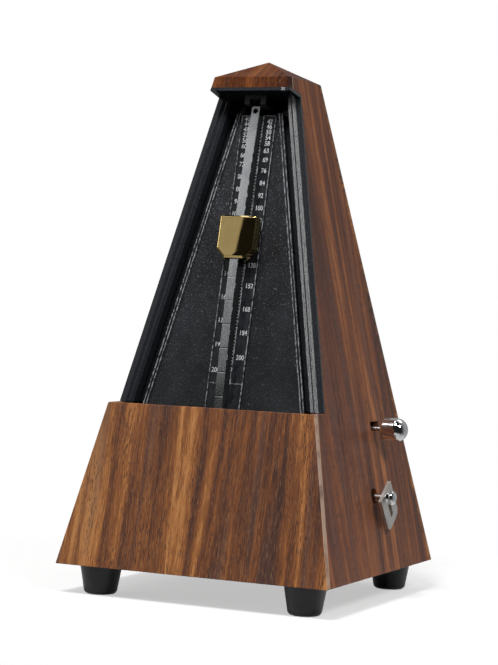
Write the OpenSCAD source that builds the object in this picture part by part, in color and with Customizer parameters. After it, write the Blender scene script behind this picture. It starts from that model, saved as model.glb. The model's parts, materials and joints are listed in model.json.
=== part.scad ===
// Mechanical metronome in a four-sided pyramid case.
// +Z is up, the front faces -Y, the winding key is on the +X side.
// The origin is on the table, under the middle of the case.

/* [Case] */
// Width and depth of the case along its bottom edge
base_w = 116; // [96:0.5:140]
// Width and depth of the case at the eave
eave_w = 32.8; // [27:0.2:40]
// Height of the eave above the case's bottom edge
eave_h = 195.7; // [163:0.1:235]
// Rise of the four-sided roof above the eave
roof_rise = 7.7; // [4:0.1:12]
// Thickness of the wooden boards, measured level
board_t = 2.9; // [2.4:0.1:3.6]
// Height of the front base panel
base_panel_h = 64.1; // [60:0.1:68]
// Height of the hood's front band
hood_band_h = 4.3; // [3:0.1:6]
// Depth of the block under the roof that fits between the boards
hood_plug_h = 2.4; // [1.5:0.1:2.8]
// Clearance between fitted case pieces
case_gap = 0.2; // [0.1:0.05:0.4]

/* [Bottom and feet] */
// Thickness of the bottom plate
plate_t = 3; // [2:0.1:4]
// How far the bottom plate sits above the case's bottom edge
plate_recess = 1; // [0.5:0.1:2]
// Height of the feet below the case's bottom edge
foot_h = 11.9; // [9:0.1:14]
// Radius of a foot at the top
foot_r = 8.3; // [7:0.1:8.5]
// Radius of a foot's flat underside
foot_tip_r = 4.8; // [4:0.1:5.5]
// Radius of the rounding round a foot's underside
foot_round = 1.9; // [0.8:0.1:2]
// Depth of the screw's recess in a foot
foot_recess = 6; // [4:0.5:7]
// Distance of a foot's centre from the case's side edge
foot_inset_x = 14; // [12:0.5:18]
// Distance of a foot's centre from the case's front or back edge
foot_inset_y = 12.5; // [12.5:0.5:18]
// Width of the square corner blocks
block_w = 11; // [8:0.5:12]
// Height of the corner blocks
block_h = 12; // [8:0.5:14]
// Shank radius of the foot screws
foot_screw_r = 1.5; // [1.2:0.1:1.8]

/* [Front frame and dial] */
// Depth of the rails' front face behind the case's front plane
rail_d = 9.6; // [9.4:0.1:12]
// Width of a rail's front face
rail_w = 3.9; // [3.4:0.1:6]
// Thickness of the rail's flange over the board's edge
flange_t = 1.2; // [0.8:0.1:2]
// Width of the bevel on the rail's inner edge
rail_bevel = 1.4; // [0.6:0.1:2]
// Depth of the bevel on the rail's inner edge
rail_bevel_d = 0.5; // [0.2:0.05:1.5]
// Width of the groove between the rail and the dial
groove_w = 3.2; // [2:0.1:4]
// Depth of the groove's floor behind the rail's front face
groove_d = 5.4; // [4:0.1:8]
// How far the groove's floor runs on behind the dial
dial_lap = 1.4; // [0.8:0.1:2]
// Wall thickness of the moulding behind the groove
moulding_t = 1.4; // [1:0.1:2]
// Thickness of the frame's lip under the hood
soffit_t = 1.3; // [1:0.1:2]
// Depth of the dial's face behind the rail's front face
dial_d = 2.8; // [2.4:0.1:4]
// Thickness of the dial
dial_t = 1.6; // [1.2:0.1:2.5]
// Distance of the dial's top edge below the hood, up the face
dial_top_gap = 7; // [6:0.5:12]
// Width of the scale plate
scale_w = 15.2; // [12:0.2:16]
// How far the scale plate stands out of the dial's face
scale_rise = 0.5; // [0.3:0.1:0.8]
// Width of the scale's middle channel
channel_w = 3.8; // [3:0.1:5]
// Depth of the scale's middle channel
channel_d = 0.9; // [0.5:0.1:1.2]
// Width of the raised lines on the scale and the dial
rib_w = 0.4; // [0.3:0.05:0.8]
// Height of the raised lines
rib_h = 0.25; // [0.15:0.05:0.4]
// Distance between the two raised lines beside each of the dial's edges
rib_pitch = 1.2; // [0.8:0.1:2]
// Distance of the scale plate's top edge below the dial's
scale_top_gap = 1; // [0.5:0.1:3]
// Distance of the scale's end line below the fastest tempo's mark
scale_end_gap = 5; // [3:0.5:8]

/* [Pendulum] */
// Distance of the swing axis up the face
pivot_u = 56.8; // [54:0.1:60]
// Depth of the rod at the swing axis
pivot_d = 9.3; // [9:0.1:9.6]
// Width of the rod
rod_w = 3.5; // [3:0.1:4.5]
// Thickness of the rod
rod_t = 0.7; // [0.5:0.1:0.9]
// Depth of the rod where it bows closest to the front plane
rod_bow_d = 5.6; // [5.2:0.1:6.4]
// Distance up the face of the rod's closest point
rod_bow_u = 129.5; // [115:0.5:140]
// Gap between the rod's tip and the catch
tip_gap = 0.6; // [0.4:0.1:2]
// Height of the catch
catch_h = 3.6; // [2.9:0.1:5]
// Height of the notch in the catch
catch_notch_h = 2.2; // [1:0.1:2.4]
// Width of the catch
catch_w = 9.2; // [7:0.1:12]
// How far the catch reaches forward of the swing axis
catch_reach = 3.2; // [2:0.1:5]
// Room beside the rod in the catch's notch
catch_gap = 0.6; // [0.4:0.1:1.5]
// Tempo that the weight is set to, in beats a minute
tempo_set = 108; // [60:4:144]
// Lever constant of the tempo scale
lever_len = 140.7; // [138:0.1:143]
// Inertia constant of the tempo scale
inertia_k = 8816; // [8600:10:9000]
// Width of the sliding weight
weight_w = 15.8; // [13:0.1:18]
// Height of the sliding weight
weight_h = 17.3; // [14:0.1:20]
// Depth of the weight's front face
weight_d = 3.5; // [3.3:0.1:4]
// Thickness of the weight
weight_t = 5.5; // [5:0.1:5.6]
// Size of the cut lower corners
weight_cut = 3.6; // [2:0.1:4]
// Bevel round the weight's front face
weight_bevel = 0.8; // [0.4:0.1:1.2]
// Thickness of the clip behind the weight
clip_t = 0.25; // [0.2:0.05:0.3]
// Radius of the counterweight
counter_r = 14; // [11:0.5:15]
// Thickness of the counterweight
counter_t = 10.5; // [8:0.5:10.5]
// Distance of the counterweight below the swing axis
counter_arm = 34; // [31:0.5:35]
// Radius of the pendulum's arbor
swing_r = 1.2; // [1:0.1:1.5]

/* [Winding] */
// Distance of the key's axis behind the case's front edge
key_back = 62.4; // [60:0.1:66]
// Height of the key's axis above the case's bottom edge
key_z = 30; // [29:0.1:33]
// Radius of the key hole
key_hole_r = 3.2; // [2.4:0.1:4]
// Radius of the winding arbor
wind_r = 1.8; // [1.5:0.1:2]
// Radius of the key's shaft
key_shaft_r = 1.25; // [1:0.05:1.6]
// Gap between the case and the key plate
key_reach = 4.1; // [4:0.1:9]
// Thickness of the key plate
key_t = 1.4; // [1:0.1:2]
// Length of the key plate from the shaft to its far end
key_far = 13.4; // [11:0.1:14]
// Length of the key plate from the shaft to its near end
key_near = 3.4; // [3:0.1:5]
// Half width of the key plate
key_half_w = 6.1; // [5:0.1:7]
// Corner radius at the key plate's far end
key_corner_r = 3; // [1:0.1:4]
// Radius of the ball nut on the key
key_ball_r = 2.9; // [2:0.1:3]

/* [Bell pull] */
// Distance of the bell pull's axis behind the case's front edge
pull_back = 73.8; // [72:0.1:76]
// Height of the bell pull's axis above the case's bottom edge
pull_z = 56.5; // [55:0.1:58]
// Radius of the bell pull rod
pull_r = 0.85; // [0.8:0.05:1.2]
// Gap between the case and the knob
knob_gap = 3.6; // [2:0.1:6]
// Radius of the knob
knob_r = 4.75; // [3.5:0.05:5.5]
// Length of the knob
knob_len = 10.6; // [8:0.1:14]
// Length of the slot in the side board
slot_len = 8.8; // [6:0.1:10]
// Height of the slot in the side board
slot_h = 3.7; // [3:0.1:4.5]
// Distance between two settings of the bell pull
pull_step = 3.5; // [3:0.1:3.5]

/* [Movement] */
// Thickness of the movement plates
mplate_t = 1.5; // [1.2:0.1:2]
// Inner face of the left movement plate
mplate_left = -24; // [-25:0.5:-23]
// Inner face of the right movement plate
mplate_right = 20.5; // [20:0.5:23]
// Radius of the pillars
pillar_r = 1.8; // [1.4:0.1:2]
// Radius of the train's arbors
arbor_r = 1; // [0.8:0.1:1.2]
// Running clearance of a shaft in its bore
run_gap = 0.05; // [0.02:0.01:0.08]
// Tooth size of the great wheel, as pitch diameter over teeth
great_mod = 0.6; // [0.58:0.01:0.62]
// Teeth of the great wheel
great_n = 54; // [52:2:56]
// Teeth of the second arbor's pinion
second_pinion_n = 12; // [12:1:14]
// Tooth size of the second wheel
second_mod = 0.5; // [0.48:0.01:0.52]
// Teeth of the second wheel
second_n = 48; // [46:2:50]
// Teeth of the escape pinion
escape_pinion_n = 10; // [10:1:12]
// Teeth of the bell drum's gear
drum_n = 24; // [22:1:26]
// Direction of the bell drum from the barrel, above level
drum_angle = 35; // [32:1:38]
// Distance of the escape wheel behind the pendulum rod
escape_back = 22; // [21:0.5:23]
// Radius of the crown escape wheel
escape_r = 8; // [7:0.1:8.5]
// Number of teeth of the crown escape wheel
escape_n = 15; // [11:2:19]
// Radius of the spring barrel
barrel_r = 14; // [11.5:0.5:14.5]
// Length of the spring barrel
barrel_len = 14; // [11:0.5:14]
// Turns of the mainspring
spring_turns = 5; // [3:1:6]

/* [Bell] */
// Radius of the bell
bell_r = 17; // [15:0.5:18]
// Height of the bell
bell_h = 12; // [11:0.5:13]
// Wall thickness of the bell
bell_t = 1.2; // [1:0.1:1.5]
// Height of the bell's rim above the case's bottom edge
bell_z = 72; // [71:0.5:74]
// Length of the hammer's arm
hammer_len = 19.4; // [18.5:0.1:20]
// Radius of the hammer's head
hammer_r = 2.2; // [1.8:0.1:2.4]

/* [Hidden] */
$fn = 48;

wood = [0.45, 0.27, 0.16];
black = [0.1, 0.1, 0.11];
steel = [0.7, 0.7, 0.72];
brass = [0.8, 0.65, 0.3];

slope = (base_w - eave_w) / 2 / eave_h;
lean = atan(slope);
front_y = -base_w / 2;
fastest = 208;
big = 400;
eps = 0.01;
past = 2;
screw_gap = 0.1;
head_ratio = 1.9;
end_gap = 0.2;

// Half width of the case at a height
function hw(z) = base_w / 2 - slope * z;
// Level [y, z] of a point given by its depth and its distance up the face
function face_yz(d, u) = [front_y + u * sin(lean) + d * cos(lean), u * cos(lean) - d * sin(lean)];
// Distance up the face of a point at a height and depth
function face_u(z, d) = (z + d * sin(lean)) / cos(lean);
// Direction from one point to another, in degrees
function dir(p, q) = atan2(q[1] - p[1], q[0] - p[0]);
// Point at a distance and direction from another
function polar(p, r, a) = [p[0] + r * cos(a), p[1] + r * sin(a)];
// Point at two given distances from two others, on the left of the line between them
function meet(p, q, rp, rq) =
    let (d = norm(q - p), a = (rp * rp - rq * rq + d * d) / (2 * d), h = sqrt(rp * rp - a * a))
    polar(polar(p, a, dir(p, q)), h, dir(p, q) + 90);
// Distance of the weight's top edge above the swing axis at a tempo
function tempo_r(bpm) =
    let (k = 9810 * pow(120 / bpm, 2) / (4 * PI * PI))
    sqrt(k * k / 4 + k * lever_len - inertia_k) - k / 2;

// Places on the face
hood_u = (eave_h - hood_band_h) / cos(lean);
dial_u0 = face_u(base_panel_h - 2.1, rail_d + dial_d);
dial_u1 = hood_u - dial_top_gap;
dial_face_d = rail_d + dial_d;
scale_face_d = dial_face_d - scale_rise;
frame_z0 = base_panel_h + 0.1;
tip_u = hood_u - soffit_t - catch_h - tip_gap;
bow_r = (pow(rod_bow_u - pivot_u, 2) + pow(pivot_d - rod_bow_d, 2)) / (2 * (pivot_d - rod_bow_d));
rod_start_u = pivot_u - 3;
weight_u1 = pivot_u + tempo_r(tempo_set);
weight_u0 = weight_u1 - weight_h;
slot_gap = 0.15;
arm_w = 4.8;
arm_d = [0.5, 2.2];

// Places of the movement, as [y, z]
floor_z = plate_recess + plate_t;
key_p = [front_y + key_back, key_z];
pull_p = [front_y + pull_back, pull_z];
pivot_p = face_yz(pivot_d, pivot_u);
escape_p = face_yz(pivot_d + escape_back, pivot_u);
great_pr = great_mod * great_n / 2;
second_p = meet(key_p, escape_p, great_pr + great_mod * second_pinion_n / 2,
    second_mod * (second_n + escape_pinion_n) / 2);
drum_p = polar(key_p, great_pr + great_mod * drum_n / 2, drum_angle);
// Turn that brings the drum's gear into mesh with the great wheel's teeth
drum_phase = (drum_angle - dir(key_p, second_p)) * great_n / drum_n;
bridge_v = 6.5;
bridge_t0 = 6;
bridge_t1 = escape_back + 11.5;
lug_t = 1.5;
lug_w = 5;
lug_drop = 3.5;
lug_gap = 0.2;
plate_front = [front_y + 31.5, front_y + 26.5];
plate_back = [front_y + 85, front_y + 89];
pillars = [
    [front_y + 37, floor_z + 7], [front_y + 80, floor_z + 6],
    [front_y + 30.6, 43.8], [front_y + 83.4, 28.6]
];
flange_w = 8;
flange_screw_x = [
    mplate_left - mplate_t - flange_w / 2, mplate_right + mplate_t + flange_w / 2
];
flange_screw_y = [front_y + 40, front_y + 78];
foot_lip = 0.8;
shaft_back = 12;
hub_start = 1.5;
hub_end = 1.7;
key_turn = 39;
key_slot_r = 1.25;
key_slot = [-8.6, -3.8];
spring_x0 = 2.7;
spring_pitch = 0.9;
spring_r = 1.5;
spring_wire_r = 0.32;
bracket_drop = 13;
bracket_lap = 4;
bracket_screw_z = [pull_z - 10, pull_z - 2];
bell_post_len = 7;
boss_r = 2.5;
mplate_points = [
    [plate_front[0], floor_z], [plate_back[0], floor_z], [plate_back[1], drum_p[1] - 5],
    [plate_back[1] - 2, drum_p[1] + 7], [pull_p[0] + 6, pull_z + 5.5],
    [pull_p[0] - 8, pull_z + 5.5],
    face_yz(pivot_d + bridge_t1 + 2.5, pivot_u + bridge_v),
    face_yz(pivot_d + 4, pivot_u + bridge_v), [plate_front[1], pillars[2][1] - 4]
];
movement_screw_r = 1.5;
bracket_screw_r = 1.2;
great_x = mplate_right - 3.9;
great_t = 1.8;
barrel_x = great_x - barrel_len;
second_wheel_x = mplate_left + 3.2;
second_wheel_t = 1.2;
ratchet_x = mplate_right + mplate_t + end_gap * 2;
ratchet_r = 7;
ratchet_n = 20;
ratchet_t = 1.8;
ratchet_tooth = 1.3;
click_gap = 0.4;
click_r = 2.4;
click_spring_t = 0.3;
click_p = polar(key_p, 12.5, 70);
escape_tip_x = -3.3;
escape_len = 4.7;
cock_x = mplate_left + 10.5;
cock_half = 9.5;
cock_drop = 2.5;
cock_gap = 0.2;
cock_top = bridge_v / cos(lean) - cock_half * tan(lean) - cock_gap;
cam_t = 1.6;
cam_r = 5.5;
bell_p = [2 * pull_step, pull_p[0] - 3.8];
bracket_t = 1.5;
bracket_w = 8;
bell_post_r = 1.5;
nut_h = 2;
bracket_z = bell_z + bell_h + 2.8;
bracket_y = bell_p[1] - 7;
hammer_angle = 73;
hammer_wire_r = 0.8;
head_at = hammer_len - hammer_r + 0.3;
head_len = 3.4;
collar_t = 0.8;
collar_x = [3, mplate_right - 4 * pull_step - collar_t - end_gap];
tail_gap = 0.5;
key_x = hw(key_z) + key_reach;
knob_x = hw(pull_z) + knob_gap;
pull_x0 = mplate_left - mplate_t - 4 * pull_step - 1;
foot_at = [for (sx = [-1, 1], sy = [-1, 1])
    [sx * (base_w / 2 - foot_inset_x), sy * (base_w / 2 - foot_inset_y)]];

// Raises the case by the height of the feet
module lift() {
    translate([0, 0, foot_h]) children();
}

// Lies in the front plane: x, depth behind it, distance up it
module on_face() {
    translate([0, front_y, 0]) rotate([-lean, 0, 0]) children();
}

// The swing axis at the origin and along y
module at_pivot() {
    on_face() translate([0, pivot_d, pivot_u]) children();
}

// Turns z along +X, with x to +Y and y to +Z, from an x and a [y, z]
module along_x(x, p) {
    translate([x, p[0], p[1]]) rotate([90, 0, 90]) children();
}

// Turns z along +y
module along_y(y) {
    translate([0, y, 0]) rotate([-90, 0, 0]) children();
}

module box(lo, hi) {
    translate(lo) cube(hi - lo);
}

module xz_prism(points) {
    rotate([90, 0, 0]) linear_extrude(big, center = true) polygon(points);
}

module yz_prism(points) {
    rotate([90, 0, 90]) linear_extrude(big, center = true) polygon(points);
}

// Half a tooth, so that a gap faces the other wheel's tooth
function mesh_turn(teeth) = 180 / teeth;

// Outline of the case between two heights, moved in by an inset
function band_points(inset, z0, z1) = [
    [-(hw(z0) - inset), z0], [hw(z0) - inset, z0],
    [hw(z1) - inset, z1], [-(hw(z1) - inset), z1]
];

// Outline of one board between two heights
function board_points(z0, z1) = [
    [hw(z0) - board_t, z0], [hw(z0), z0], [hw(z1), z1], [hw(z1) - board_t, z1]
];

module case_solid(inset, z0, z1) {
    intersection() {
        xz_prism(band_points(inset, z0, z1));
        yz_prism(band_points(inset, z0, z1));
    }
}

module roof_solid() {
    points = [[-eave_w / 2, eave_h], [eave_w / 2, eave_h], [0, eave_h + roof_rise]];
    intersection() {
        xz_prism(points);
        yz_prism(points);
    }
}

// Pan-headed screw along +z, its head below z = 0
module screw(r, len) {
    head_h = r * 1.2;
    difference() {
        union() {
            cylinder(r = r, h = len);
            translate([0, 0, -head_h]) cylinder(r = r * head_ratio, h = head_h);
        }
        box([-r * 1.5, -r * 0.25, -head_h - 1], [r * 1.5, r * 0.25, -head_h * 0.5]);
    }
}

// Flat gear outline with a tooth centred on angle 0
module gear_outline(teeth, size) {
    root = size * (teeth / 2 - 1.15);
    tip = size * (teeth / 2 + 0.8);
    step = 360 / teeth;
    polygon([for (i = [0 : teeth - 1], p = [[root, -0.27], [tip, -0.11], [tip, 0.11], [root, 0.27]])
        polar([0, 0], p[0], (i + p[1]) * step)]);
}

module gear(teeth, size, width, bore) {
    difference() {
        linear_extrude(width) gear_outline(teeth, size);
        translate([0, 0, -1]) cylinder(r = bore, h = width + 2);
    }
}

module crossings(r_in, r_out, width, count) {
    for (i = [0 : count - 1]) {
        rotate((i + 0.5) * 360 / count) translate([(r_in + r_out) / 2, 0, -1])
            cylinder(r = (r_out - r_in) / 2, h = width + 2);
    }
}

// Case

module front_cut() {
    intersection() {
        on_face() box([-big / 2, -20, 0], [big / 2, rail_d + flange_t, hood_u]);
        box([-big / 2, -big / 2, base_panel_h], [big / 2, big / 2, big]);
    }
}

module front_base_panel() {
    color(wood) lift() intersection() {
        mirror([0, 1, 0]) yz_prism(board_points(0, base_panel_h));
        xz_prism(band_points(0, 0, base_panel_h));
    }
}

module side_board() {
    difference() {
        intersection() {
            xz_prism(board_points(0, eave_h));
            yz_prism(band_points(board_t, 0, eave_h));
        }
        front_cut();
    }
}

module left_side_panel() {
    color(wood) lift() mirror([1, 0, 0]) side_board();
}

module right_side_panel() {
    color(wood) lift() difference() {
        side_board();
        along_x(hw(key_z) - 10, key_p) cylinder(r = key_hole_r, h = 20);
        box([hw(pull_z) - 10, pull_p[0] - slot_len * 0.4, pull_z - pull_r - 0.15],
            [hw(pull_z) + 10, pull_p[0] + slot_len * 0.6, pull_z - pull_r - 0.15 + slot_h]);
    }
}

module back_panel() {
    color(wood) lift() intersection() {
        yz_prism(board_points(0, eave_h));
        xz_prism(band_points(0, 0, eave_h));
    }
}

module hood() {
    color(wood) lift() {
        roof_solid();
        case_solid(board_t + case_gap, eave_h - hood_plug_h, eave_h);
        intersection() {
            mirror([0, 1, 0]) yz_prism(board_points(eave_h - 2 * hood_band_h, eave_h));
            xz_prism(band_points(0, eave_h - 2 * hood_band_h, eave_h));
            on_face() box([-big / 2, -20, hood_u], [big / 2, 20, hood_u + 20]);
        }
    }
}

// Front frame and dial

// Runs a profile along the right edge of the face: x to the middle, y the depth
module along_edge() {
    edge = atan(slope * cos(lean));
    translate([base_w / 2, 0, 0]) rotate([0, -edge, 0]) mirror([1, 0, 0])
        translate([0, 0, -20]) linear_extrude(eave_h * 1.3) children();
}

module rail() {
    w1 = rail_w;
    w2 = rail_w + rail_bevel;
    w3 = w2 + groove_w;
    wi = board_t + 2 * case_gap;
    d1 = rail_d + groove_d;
    along_edge() polygon([
        [-past, rail_d], [w1, rail_d], [w2, rail_d + rail_bevel_d], [w2, d1],
        [w3 + dial_lap, d1], [w3 + dial_lap, d1 + moulding_t], [wi, d1 + moulding_t],
        [wi, rail_d + flange_t], [-past, rail_d + flange_t]
    ]);
}

module front_frame() {
    half = eave_w / 2 - rail_w - rail_bevel / 2;
    color(black) lift() intersection() {
        case_solid(0, frame_z0, eave_h);
        on_face() intersection() {
            box([-big / 2, 0, 0], [big / 2, big / 4, hood_u]);
            union() {
                rail();
                mirror([1, 0, 0]) rail();
                box([-big / 2, -1, hood_u - soffit_t], [big / 2, rail_d + flange_t / 2, hood_u + 1]);
                box([-half, rail_d, hood_u - soffit_t],
                    [half, rail_d + groove_d + moulding_t / 2, hood_u + 1]);
            }
        }
    }
}

// Strip of the face between two insets from its right edge
module edge_strip(w0, w1, d0, d1) {
    along_edge() polygon([[w0, d0], [w1, d0], [w1, d1], [w0, d1]]);
}

module dial_panel() {
    w = rail_w + rail_bevel + groove_w + case_gap;
    color(black) lift() on_face() intersection() {
        box([-big / 2, 0, dial_u0], [big / 2, big / 4, dial_u1]);
        difference() {
            union() {
                intersection() {
                    edge_strip(w, big / 2, dial_face_d, dial_face_d + dial_t);
                    mirror([1, 0, 0])
                        edge_strip(w, big / 2, dial_face_d, dial_face_d + dial_t);
                }
                for (side = [0, 1], inset = [w, w + rib_pitch]) {
                    mirror([side, 0, 0])
                        edge_strip(inset, inset + rib_w, dial_face_d - rib_h * 2, dial_face_d + eps);
                }
            }
            box([-scale_w / 2 - case_gap / 2, 0, 0], [scale_w / 2 + case_gap / 2, 50, big]);
        }
    }
}

module scale_plate() {
    top_u = dial_u1 - scale_top_gap;
    end_u = pivot_u + tempo_r(fastest) - scale_end_gap;
    color(black) lift() on_face() {
        difference() {
            box([-scale_w / 2, scale_face_d, dial_u0], [scale_w / 2, dial_face_d + dial_t, top_u]);
            box([-channel_w / 2, 0, 0], [channel_w / 2, scale_face_d + channel_d, big]);
        }
        for (side = [0, 1]) {
            mirror([side, 0, 0]) {
                for (x = [channel_w / 2, scale_w / 2 - rib_w]) {
                    u0 = x < scale_w / 4 ? end_u : dial_u0;
                    box([x, scale_face_d - rib_h, u0], [x + rib_w, scale_face_d + eps, top_u]);
                }
                for (u = [end_u - rib_w, top_u - rib_w]) {
                    box([channel_w / 2, scale_face_d - rib_h, u],
                        [scale_w / 2 - rib_w / 2, scale_face_d + eps, u + rib_w]);
                }
            }
        }
    }
}

module pendulum_catch() {
    u1 = hood_u - soffit_t;
    u0 = u1 - catch_h;
    color([0.25, 0.25, 0.27]) lift() on_face() difference() {
        box([-catch_w / 2, pivot_d - catch_reach, u0], [catch_w / 2, rail_d + groove_d, u1]);
        box([-rod_w / 2 - catch_gap, 0, u0 - 1],
            [rod_w / 2 + catch_gap, pivot_d + 2 * catch_gap, u0 + catch_notch_h]);
    }
}

// Bottom and feet

module bottom_plate() {
    half = hw(floor_z) - board_t - case_gap;
    color([0.3, 0.22, 0.15]) lift() difference() {
        box([-half, -half, plate_recess], [half, half, floor_z]);
        for (p = foot_at) {
            translate([p[0], p[1], 0]) cylinder(r = foot_screw_r + screw_gap, h = floor_z + 1);
        }
        for (x = flange_screw_x, y = flange_screw_y) {
            translate([x, y, 0]) cylinder(r = movement_screw_r + run_gap, h = floor_z + 1);
        }
    }
}

module corner_blocks() {
    color([0.6, 0.45, 0.3]) lift() for (p = foot_at) {
        difference() {
            intersection() {
                translate([p[0], p[1], floor_z + block_h / 2])
                    cube([block_w, block_w, block_h], center = true);
                case_solid(board_t, 0, eave_h);
            }
            translate([p[0], p[1], 0]) cylinder(r = foot_screw_r + run_gap, h = floor_z + block_h - 1);
        }
    }
}

module foot(i) {
    top = foot_h + plate_recess;
    head_r = foot_screw_r * head_ratio + 3 * screw_gap;
    color(black) translate([foot_at[i][0], foot_at[i][1], 0]) rotate_extrude() polygon([
        [foot_screw_r + screw_gap, foot_recess], [head_r, foot_recess], [head_r, 0],
        for (a = [-90 : 15 : -15]) [foot_tip_r + foot_round * cos(a), foot_round * (1 + sin(a))],
        [foot_r, foot_h - foot_lip], [foot_r, top], [foot_screw_r + screw_gap, top]
    ]);
}

module foot_screws() {
    color(steel) for (p = foot_at) {
        translate([p[0], p[1], foot_recess]) screw(foot_screw_r, foot_h + floor_z);
    }
}

// Movement frame

module pivot_hole(p, r) {
    along_x(-big / 4, p) cylinder(r = r + run_gap, h = big / 2);
}

module mplate(x, flange_x) {
    difference() {
        union() {
            along_x(x, [0, 0]) linear_extrude(mplate_t) polygon(mplate_points);
            box([flange_x, plate_front[0], floor_z],
                [flange_x + flange_w, plate_back[0], floor_z + mplate_t]);
        }
        pivot_hole(key_p, wind_r);
        pivot_hole(second_p, arbor_r);
        pivot_hole(drum_p, arbor_r);
        pivot_hole(pull_p, pull_r);
        translate([flange_x + flange_w / 2, 0, 0]) for (y = flange_screw_y) {
            translate([0, y, 0]) cylinder(r = movement_screw_r + run_gap, h = floor_z + 5);
        }
        bridge_screw_hole();
    }
}

module bridge_screw_hole() {
    at_pivot() rotate([0, 90, 0]) translate([-1.2, escape_back - 4, 0])
        cylinder(r = bracket_screw_r + run_gap, h = big, center = true);
}

module left_movement_plate() {
    color(brass) lift() difference() {
        mplate(mplate_left - mplate_t, mplate_left - mplate_t - flange_w);
        pivot_hole(escape_p, arbor_r);
        for (z = bracket_screw_z) {
            along_x(mplate_left - 5, [bracket_y + bracket_w / 2, z])
                cylinder(r = bracket_screw_r + run_gap, h = 10);
        }
    }
}

module right_movement_plate() {
    color(brass) lift() difference() {
        mplate(mplate_right, mplate_right + mplate_t);
        along_x(mplate_right - 5, click_p) cylinder(r = bracket_screw_r + run_gap, h = 10);
    }
}

module movement_pillars() {
    color(steel) lift() for (p = pillars) {
        along_x(mplate_left, p) cylinder(r = pillar_r, h = mplate_right - mplate_left);
    }
}

module movement_screws() {
    color(steel) lift() for (x = flange_screw_x, y = flange_screw_y) {
        translate([x, y, floor_z + mplate_t]) mirror([0, 0, 1])
            screw(movement_screw_r, mplate_t + plate_t);
    }
}

module pendulum_bridge() {
    window = sqrt(pow(escape_r + 0.6, 2) - pow(bridge_v, 2)) + 0.6;
    x0 = mplate_left - mplate_t;
    x1 = mplate_right + mplate_t;
    color(brass) lift() difference() {
        at_pivot() {
            box([x0 - bracket_t, bridge_t0, bridge_v], [x1 + bracket_t, bridge_t1, bridge_v + bracket_t]);
            for (t = [bridge_t0, bridge_t1 - lug_t]) {
                box([-lug_w, t, -lug_drop], [barrel_x - lug_gap, t + lug_t, bridge_v + eps]);
            }
            for (x = [x0 - bracket_t, x1]) {
                box([x, escape_back - 8, -2.5], [x + bracket_t, escape_back, bridge_v + eps]);
            }
        }
        at_pivot() {
            along_y(0) cylinder(r = swing_r + run_gap, h = big / 4);
            box([escape_tip_x - escape_len - 1, escape_back - window, 0],
                [escape_tip_x + 1, escape_back + window, big]);
        }
        bridge_screw_hole();
    }
}

module escape_cock() {
    color(brass) lift() difference() {
        union() {
            box([cock_x, escape_p[0] - cock_half, escape_p[1] - cock_drop],
                [cock_x + mplate_t, escape_p[0] + cock_half, escape_p[1] + cock_top]);
            for (side = [-1, 1]) {
                along_x(mplate_left, [escape_p[0] + side * 7, escape_p[1] + 2.5])
                    cylinder(r = 1.5, h = cock_x - mplate_left + eps);
            }
        }
        pivot_hole(escape_p, arbor_r);
    }
}

module bracket_screws() {
    color(steel) lift() {
        for (side = [0, 1]) {
            x = side == 0 ? mplate_left - mplate_t - bracket_t : mplate_right + mplate_t + bracket_t;
            at_pivot() translate([x, escape_back - 4, 1.2]) rotate([0, side == 0 ? 90 : -90, 0])
                screw(bracket_screw_r, bracket_t + mplate_t + 0.5);
        }
        for (z = bracket_screw_z) {
            along_x(mplate_left - mplate_t - bracket_t, [bracket_y + bracket_w / 2, z])
                screw(bracket_screw_r, bracket_t + mplate_t + 0.5);
        }
    }
}

// Winding parts

module winding_arbor() {
    x0 = mplate_left - mplate_t;
    color(steel) lift() along_x(0, key_p) {
        translate([0, 0, x0]) cylinder(r = wind_r, h = key_x - shaft_back - x0);
        translate([0, 0, barrel_x + hub_start])
            cylinder(r = wind_r * 2, h = barrel_len - hub_start - hub_end);
    }
}

module key_shaft() {
    color(steel) lift() along_x(0, key_p) {
        translate([0, 0, key_x - shaft_back]) cylinder(r = key_shaft_r, h = shaft_back + key_t + 0.8);
        translate([0, 0, key_x - shaft_back]) cylinder(r = wind_r + 0.5, h = 3);
    }
}

module key_plate() {
    side = key_half_w - key_corner_r;
    color(steel) lift() along_x(key_x, key_p) rotate(key_turn) difference() {
        linear_extrude(key_t) difference() {
            union() {
                translate([-key_half_w, key_corner_r - key_far])
                    square([2 * key_half_w, key_far - key_corner_r + key_near]);
                translate([-side, -key_far]) square([2 * side, key_far]);
                for (x = [-side, side]) {
                    translate([x, key_corner_r - key_far]) circle(r = key_corner_r);
                }
            }
            translate([-key_slot_r, key_slot[0]]) square([2 * key_slot_r, key_slot[1] - key_slot[0]]);
            for (v = key_slot) {
                translate([0, v]) circle(r = key_slot_r);
            }
        }
        translate([0, 0, -1]) cylinder(r = key_shaft_r + eps, h = key_t + 2);
    }
}

module key_nut() {
    color(steel) lift() along_x(key_x + key_t, key_p) difference() {
        rotate_extrude() polygon(concat(
            [[0, 0], [key_ball_r * 0.75, 0]],
            [for (a = [-50 : 10 : 90]) [key_ball_r * cos(a), 0.25 + key_ball_r * 0.59 * (1 + sin(a) * 0.9)]]
        ));
        translate([0, 0, -1]) cylinder(r = key_shaft_r + eps, h = 1.8 + eps);
    }
}

module ratchet_wheel() {
    step = 360 / ratchet_n;
    color(steel) lift() along_x(ratchet_x, key_p) difference() {
        linear_extrude(ratchet_t) polygon([
            for (i = [0 : ratchet_n - 1], p = [[ratchet_r, 0], [ratchet_r - ratchet_tooth, 0.15]])
                polar([0, 0], p[0], (i + p[1]) * step)
        ]);
        translate([0, 0, -1]) cylinder(r = wind_r + eps, h = 4);
    }
}

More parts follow.
